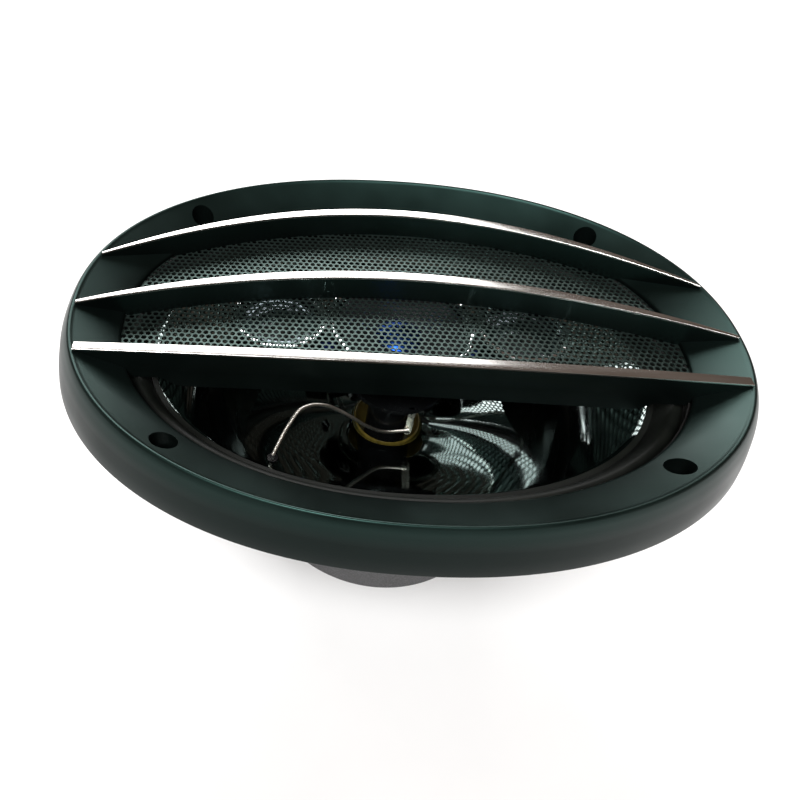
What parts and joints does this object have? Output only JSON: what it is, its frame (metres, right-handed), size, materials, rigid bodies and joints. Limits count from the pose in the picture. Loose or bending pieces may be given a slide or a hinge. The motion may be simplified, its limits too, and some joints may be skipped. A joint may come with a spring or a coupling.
{
  "type": "coaxial car speaker",
  "caption": "Oval coaxial car loudspeaker with a louvred grille, perforated sheet, sprung cone, three small drivers on a bridge and a ring-magnet motor.",
  "frame": {"origin": "centre of the plane where the flange gasket and the grille's skirt meet the panel", "axes": "+Z out of the front along the cone's travel, +X along the long axis"},
  "size_m": [0.254, 0.184, 0.1108],
  "materials": {
    "bezel_plastic": "satin moulded",
    "trim_aluminium": "brushed",
    "mesh_steel": "perforated, painted",
    "foam_gasket": "closed-cell foam",
    "basket_steel": "pressed, powder coated",
    "gasket_board": "pressed board",
    "surround_rubber": "butyl rubber",
    "cone_poly": "mirror gloss",
    "eyelet_brass": "plain",
    "former_film": "amber film",
    "coil_copper": "enamelled wire",
    "spider_cloth": "woven cotton, resin dipped",
    "zinc_plate": "zinc plated",
    "ferrite": "sintered",
    "rivet_steel": "bright",
    "board_phenolic": "phenolic board",
    "tab_tin": "tinned",
    "lead_braid": "tinned copper braid",
    "post_plastic": "moulded",
    "housing_plastic": "moulded",
    "ring_chrome": "plated",
    "mid_paper": "coated paper",
    "dome_blue": "anodised blue",
    "dome_film": "metallised film",
    "motor_can": "plated",
    "cap_sleeve": "shrink sleeve",
    "screw_steel": "plated"
  },
  "bodies": {
    "frame": {"grille_bezel": "bezel_plastic", "louvre_trim_front": "trim_aluminium", "louvre_trim_middle": "trim_aluminium", "louvre_trim_rear": "trim_aluminium", "grille_mesh": "mesh_steel", "panel_gasket": "foam_gasket", "basket": "basket_steel", "clamp_ring": "gasket_board", "surround": "surround_rubber", "spider": "spider_cloth", "front_plate": "zinc_plate", "magnet": "ferrite", "back_yoke": "zinc_plate", "basket_rivets": "rivet_steel", "terminal_board": "board_phenolic", "terminal_rivets": "rivet_steel", "positive_tab": "tab_tin", "negative_tab": "tab_tin", "rear_lead_positive": "lead_braid", "rear_lead_negative": "lead_braid", "front_lead_left": "lead_braid", "front_lead_right": "lead_braid", "post": "post_plastic", "post_screw": "screw_steel", "solder_lug_left": "tab_tin", "solder_lug_right": "tab_tin", "bridge_housing": "housing_plastic", "mid_ring": "ring_chrome", "mid_motor": "motor_can", "tweeter_ring_left": "ring_chrome", "tweeter_ring_right": "ring_chrome", "tweeter_motor_left": "motor_can", "tweeter_motor_right": "motor_can", "capacitors": "cap_sleeve", "bridge_screws": "screw_steel"},
    "cone_assembly": {"cone": "cone_poly", "cone_eyelets": "eyelet_brass", "voice_coil_former": "former_film", "voice_coil_winding": "coil_copper"},
    "mid_diaphragm": {"mid_cone": "mid_paper", "mid_dome": "dome_blue"},
    "tweeter_diaphragm_left": {"tweeter_dome_left": "dome_film"},
    "tweeter_diaphragm_right": {"tweeter_dome_right": "dome_film"}
  },
  "joints": [
    {"name": "cone_travel", "type": "slide", "parent": "frame", "child": "cone_assembly", "axis": [0, 0, 1], "range_m": [-0.003, 0.003], "stiffness_N_per_m": 1800, "deforming": ["surround", "spider", "rear_lead_positive", "rear_lead_negative", "front_lead_left", "front_lead_right"]},
    {"name": "mid_travel", "type": "slide", "parent": "frame", "child": "mid_diaphragm", "axis": [0, 0, 1], "range_m": [-0.0003, 0.0003], "stiffness_N_per_m": 3000},
    {"name": "tweeter_travel_left", "type": "slide", "parent": "frame", "child": "tweeter_diaphragm_left", "axis": [0, 0, 1], "range_m": [-0.0003, 0.0003], "stiffness_N_per_m": 2000},
    {"name": "tweeter_travel_right", "type": "slide", "parent": "frame", "child": "tweeter_diaphragm_right", "axis": [0, 0, 1], "range_m": [-0.0003, 0.0003], "stiffness_N_per_m": 2000}
  ]
}
